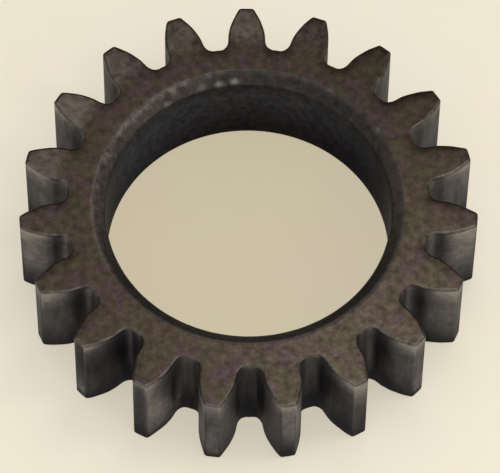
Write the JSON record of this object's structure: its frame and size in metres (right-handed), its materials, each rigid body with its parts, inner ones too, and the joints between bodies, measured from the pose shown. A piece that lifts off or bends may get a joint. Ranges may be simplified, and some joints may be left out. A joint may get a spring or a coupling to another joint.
{
  "type": "pinion gear",
  "caption": "One-piece spur pinion gear: a ring with involute teeth outside and a plain, wide round bore.",
  "frame": {"origin": "on the bore axis, half way between the two end faces", "axes": "+Z along the bore axis, +Y through the middle of one tooth"},
  "size_m": [0.0628, 0.0627, 0.0154],
  "materials": {
    "dark_steel": "hardened steel with a dark oiled skin, rubbed brighter along its edges"
  },
  "bodies": {
    "root": {"pinion_gear": "dark_steel"}
  },
  "joints": []
}
